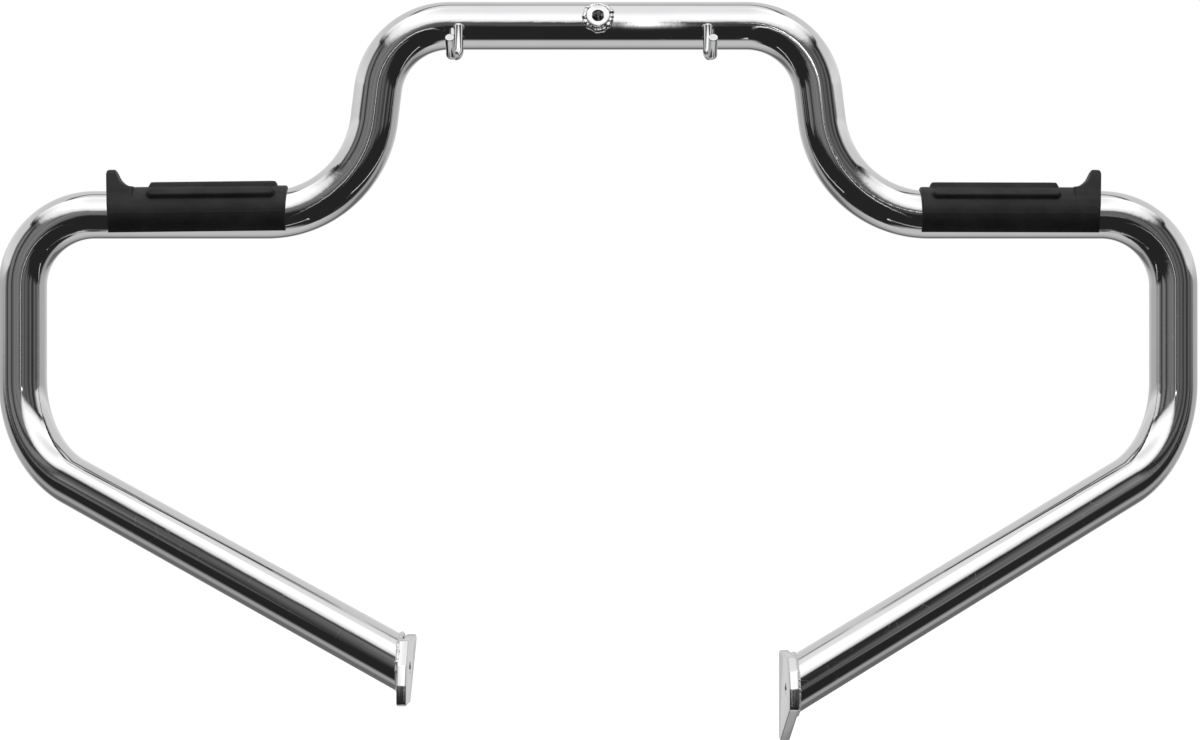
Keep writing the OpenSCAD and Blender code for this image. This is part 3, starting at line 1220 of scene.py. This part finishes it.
    def build(self) -> None:
        """Lofts the sections and closes the ends."""
        rows = [self.section(x) for x in self.stations()]
        count, n = len(rows[0]), self.around
        lip = (count - 2 * n) // 2
        faces = []
        for i in range(len(rows) - 1):
            a, b = i * count, (i + 1) * count
            faces += [(a + j, a + (j + 1) % count, b + (j + 1) % count, b + j)
                      for j in range(count)]
        for base in (0, (len(rows) - 1) * count):
            inner = base + n + lip
            faces += [(base + i, base + i + 1, inner + n - 2 - i, inner + n - 1 - i)
                      for i in range(n - 1)]
            faces.append(tuple(range(base + n - 1, inner + 1)))
            faces.append(tuple(range(inner + n - 1, base + count)) + (base,))
        mesh = solid([p for row in rows for p in row], faces)
        node = f"{self.hand.word}_foot_pad"
        show(f"{node}_rubber", mesh, self.finish, [node], sharp_from=50.0)


# ---- studio


@dataclass
class Studio:
    """A pale floor, soft light from a white ceiling and back wall, and the photograph's view.

    Angles are in degrees. A range holds where it starts and ends and what it gives there.
    """

    camera_mm: Point = (1.33, -2000.0, -229.4)
    lens: float = 90.0
    floor_mm: float = -900.0
    floor_size: float = 24.0
    floor_glow: float = 0.4
    # Brightness of the white ceiling on the rider's side, by height above its dark edge ...
    ceiling: Stops = (
        (-90, 0.02), (6.5, 0.02), (9, 0.10), (12, 0.45), (15, 0.85), (20, 1.0), (27, 1.25),
        (36, 1.25), (50, 1.08), (62, 0.94), (76, 0.90), (90, 0.92))
    # ... of the ground there, by height ...
    ground: Stops = (
        (-90, 0.58), (-84, 0.55), (-79, 0.26), (-75, 0.05), (-71, 0.0), (90, 0.0))
    # ... and behind the bars.
    back: Stops = (
        (-90, 0.60), (-66, 0.58), (-56, 0.46), (-50, 0.40), (-30, 0.37), (-20, 0.38), (-8, 0.44),
        (4, 0.46), (14, 0.78), (30, 0.68), (47, 0.66), (57, 0.66), (62, 0.62), (64.5, 0.16),
        (67.5, 0.14), (70, 0.66), (74, 0.84), (90, 0.90))
    # The level band on the rider's side, by angle to the right of the camera.
    band: Stops = (
        (-110, 0.44), (-100, 0.42), (-79, 0.38), (-74, 0.16), (-69, 0.05), (-65, 0.08),
        (-60, 0.19), (-50, 0.19), (-46, 0.06), (-41, 0.05), (-36, 0.18), (-10, 0.19), (-3, 0.10),
        (4, 0.05), (9, 0.13), (15, 0.16), (20, 0.06), (25, 0.14), (31, 0.11), (37, 0.05),
        (43, 0.09), (48, 0.17), (53, 0.04), (60, 0.03), (65, 0.15), (70, 0.18), (76, 0.05),
        (82, 0.17), (92, 0.22), (100, 0.32), (110, 0.45))
    # Small lamps: angle to the right, height, their half sizes and brightness.
    lamps: tuple[Range, ...] = (
        (0.9, 3.0, 0.42, 13.0, 1.8), (5.0, 7.0, 1.3, 1.3, 4.5))
    # How fast the ceiling's edge rises away from the camera, and up to which angle.
    rise: float = 0.5
    rise_to: float = 66.0
    # The noises that roughen the edges and mottle the band, and how far they reach.
    torn_scale: float = 4.0
    clutter_scale: float = 0.16
    rough_edge: Range = (0.3, 0.7, -4.0, 4.0)
    mottle: Range = (0.3, 0.7, 0.55, 1.4)
    # Where the level band starts and ends, and how much higher it starts at the sides.
    band_start: Range = (-11.0, -2.0)
    band_end: Range = (26.0, 42.0, 1.0, 0.0)
    band_sides: Range = (58.0, 72.0, 0.0, 5.0)
    # The glow in the middle of the wall behind, and the shade below it.
    glow_height: float = -5.0
    glow_up: Range = (0.0, 22.0, 1.0, 0.0)
    glow_away: Range = (120.0, 172.0, 0.0, 0.24)
    shade_start: Range = (-46.0, -38.0)
    shade_end: Range = (-24.0, -14.0, 1.0, 0.0)
    shade_away: Range = (112.0, 130.0, 0.0, 0.6)
    # Where the wall behind takes over, and how much sooner between two heights.
    behind: Range = (92.0, 106.0)
    sooner_start: Range = (4.0, 14.0, 0.0, 28.0)
    sooner_end: Range = (36.0, 44.0, 1.0, 0.0)

    def build(self) -> None:
        """Makes the camera, the world and the floor."""
        scene = bpy.context.scene
        scene.view_settings.view_transform = "Standard"
        data = bpy.data.cameras.new("camera")
        data.lens, data.sensor_width, data.sensor_fit = self.lens, 36.0, "HORIZONTAL"
        data.clip_end = 100.0
        camera = bpy.data.objects.new("camera", data)
        camera.location = Vector(self.camera_mm) * MM
        camera.rotation_euler = (math.radians(90.0), 0.0, 0.0)
        scene.collection.objects.link(camera)
        scene.camera = camera
        self.world(scene)
        self.floor(scene)

    def world(self, scene: bpy.types.Scene) -> None:
        """Lights the room, and shows the camera plain white.

        Args:
            scene: the scene that gets the world.
        """
        scene.world = bpy.data.worlds.new("studio")
        g = Graph.of(scene.world)
        way = g.add("ShaderNodeTexCoord").outputs["Generated"]
        split = g.add("ShaderNodeSeparateXYZ", {0: way}).outputs
        height = g.math("DEGREES", g.math("ARCSINE", split["Z"]))
        around = g.math("DEGREES", g.math("ARCTAN2", split["X"], g.times(split["Y"], -1.0)))
        away = g.math("ABSOLUTE", around)
        sooner = g.times(g.ease(height, *self.sooner_start), g.ease(height, *self.sooner_end))
        light = g.add("ShaderNodeMix", {0: g.ease(g.plus(away, sooner), *self.behind),
                                        2: self.front(g, around, away, height),
                                        3: self.wall(g, away, height)}).outputs[0]
        for spot in self.lamps:
            light = g.plus(light, self.lamp(g, around, height, spot))
        seen = g.add("ShaderNodeLightPath").outputs["Is Camera Ray"]
        level = g.add("ShaderNodeMix", {0: seen, 2: light, 3: 1.0}).outputs[0]
        sky = g.add("ShaderNodeBackground", {"Color": level, "Strength": 1.0})
        g.add("ShaderNodeOutputWorld", {0: sky.outputs[0]})

    def front(self, g: Graph, around: Socket, away: Socket, height: Socket) -> Socket:
        """The rider's side: the white ceiling, the ground and the level band between them.

        Args:
            g: the world's graph.
            around: the angle to the right of the camera.
            away: the same without its sign.
            height: the angle above the level.

        Returns:
            The brightness.
        """
        above = g.math("SUBTRACT", height, g.times(g.math("MINIMUM", away, self.rise_to),
                                                   self.rise))
        along = g.add("ShaderNodeCombineXYZ", {0: around}).outputs[0]
        torn = g.noise(along, self.torn_scale, 3.0, 0.7)
        white = g.math("MAXIMUM", g.ramp(g.plus(above, g.span(torn, *self.rough_edge)),
                                         self.ceiling), g.ramp(height, self.ground))
        spread = g.add("ShaderNodeCombineXYZ", {0: around, 1: g.times(height, 0.25)}).outputs[0]
        clutter = g.noise(spread, self.clutter_scale, 3.0, 0.7)
        band = g.times(g.ramp(around, self.band), g.span(clutter, *self.mottle))
        ragged = g.plus(g.math("SUBTRACT", height, g.ease(away, *self.band_sides)),
                        g.span(clutter, *self.rough_edge))
        share = g.times(g.ease(ragged, *self.band_start), g.ease(height, *self.band_end))
        return g.math("MAXIMUM", white, g.times(band, share))

    def wall(self, g: Graph, away: Socket, height: Socket) -> Socket:
        """The wall behind the bars, with its glow and its shade.

        Args:
            g: the world's graph.
            away: the angle from the camera's side, without its sign.
            height: the angle above the level.

        Returns:
            The brightness.
        """
        off = g.math("ABSOLUTE", g.math("SUBTRACT", height, self.glow_height))
        glow = g.times(g.ease(away, *self.glow_away), g.span(off, *self.glow_up))
        low = g.times(g.ease(height, *self.shade_start), g.ease(height, *self.shade_end))
        shade = g.times(low, g.ease(away, *self.shade_away))
        return g.times(g.plus(g.ramp(height, self.back), glow), g.math("SUBTRACT", 1.0, shade))

    @staticmethod
    def lamp(g: Graph, around: Socket, height: Socket, spot: Range) -> Socket:
        """A small soft lamp that glints in the bars.

        Args:
            g: the world's graph.
            around: the angle to the right of the camera.
            height: the angle above the level.
            spot: the lamp's own angles, half sizes and brightness.

        Returns:
            The lamp's brightness.
        """
        across = g.math("DIVIDE", g.math("SUBTRACT", around, spot[0]), spot[2])
        up = g.math("DIVIDE", g.math("SUBTRACT", height, spot[1]), spot[3])
        far = g.plus(g.times(across, across), g.times(up, up))
        return g.times(g.math("EXPONENT", g.times(far, -1.0)), spot[4])

    def floor(self, scene: bpy.types.Scene) -> None:
        """Lays the pale floor, which keeps the bars' soft shadow.

        Args:
            scene: the scene that gets the floor.
        """
        half, z = self.floor_size / 2, self.floor_mm * MM
        mesh = bpy.data.meshes.new("floor")
        mesh.from_pydata([(-half, -half, z), (half, -half, z), (half, half, z), (-half, half, z)],
                         [], [(0, 1, 2, 3)])
        made = bpy.data.materials.new("pale_floor")
        g = Graph.of(made)
        matte = g.add("ShaderNodeBsdfDiffuse", {"Color": (0.9, 0.9, 0.9, 1.0)})
        seen = g.add("ShaderNodeLightPath").outputs["Is Camera Ray"]
        glow = g.add("ShaderNodeEmission", {"Color": (1.0, 1.0, 1.0, 1.0),
                                            "Strength": g.times(seen, self.floor_glow)})
        both = g.add("ShaderNodeAddShader", {0: matte.outputs[0], 1: glow.outputs[0]})
        g.add("ShaderNodeOutputMaterial", {0: both.outputs[0]})
        mesh.materials.append(made)
        obj = bpy.data.objects.new("floor", mesh)
        obj.visible_glossy = False
        obj.visible_diffuse = False
        scene.collection.objects.link(obj)


# ---- the whole


PLATE_OUTLINES = {
    Hand.LEFT: ((-21, -21), (3, -21), (41, 18), (-7.5, 18), (-17, 3.5), (-21, -8.5)),
    Hand.RIGHT: ((-21, -10), (30.5, -34.5), (37.5, -34.5), (37.5, 21), (-7.5, 21), (-17, 13),
                 (-21, 2.5))}
# Each hook's distance from the middle, and how much farther out its pin stands.
HOOK_PLACES = {Hand.LEFT: (92.0, 4.8), Hand.RIGHT: (72.5, 2.8)}
PAD_STARTS = {Hand.LEFT: 207.0, Hand.RIGHT: 214.5}


@dataclass
class CrashBars:
    """All the pieces of the bars, in the order in which they would be made."""

    plated: Material = field(default_factory=Chrome("bright_chrome").material)
    welded: Material = field(
        default_factory=Chrome("weld_chrome", gloss=0.1, smudge=0.12, bend_wave_mm=0.0).material)
    flat: Material = field(
        default_factory=Chrome("plate_chrome", gloss=0.12, smudge=0.1, wave_mm=0.02).material)
    rubber: Material = field(default_factory=MouldedRubber("moulded_rubber").material)

    def build(self) -> None:
        """Builds every piece."""
        bars, welder = round_bar_tool(), Welder(self.welded)
        plates = {hand: PlateSizes(hand, outline) for hand, outline in PLATE_OUTLINES.items()}
        BarTube(self.plated, plates).build()
        CentreBung(self.plated, welder).build()
        for hand, (x, offset) in HOOK_PLACES.items():
            RodHook(hand, x, offset, self.plated, bars, welder).build()
        for sizes in plates.values():
            MountPlate(sizes, self.flat, welder).build()
        for hand, start in PAD_STARTS.items():
            FootPad(hand, start, self.rubber).build()


def main() -> None:
    logging.basicConfig(level=logging.INFO, format="%(name)s: %(message)s")
    Studio().build()
    CrashBars().build()
    bpy.context.view_layer.update()


if __name__ == "__main__":
    main()
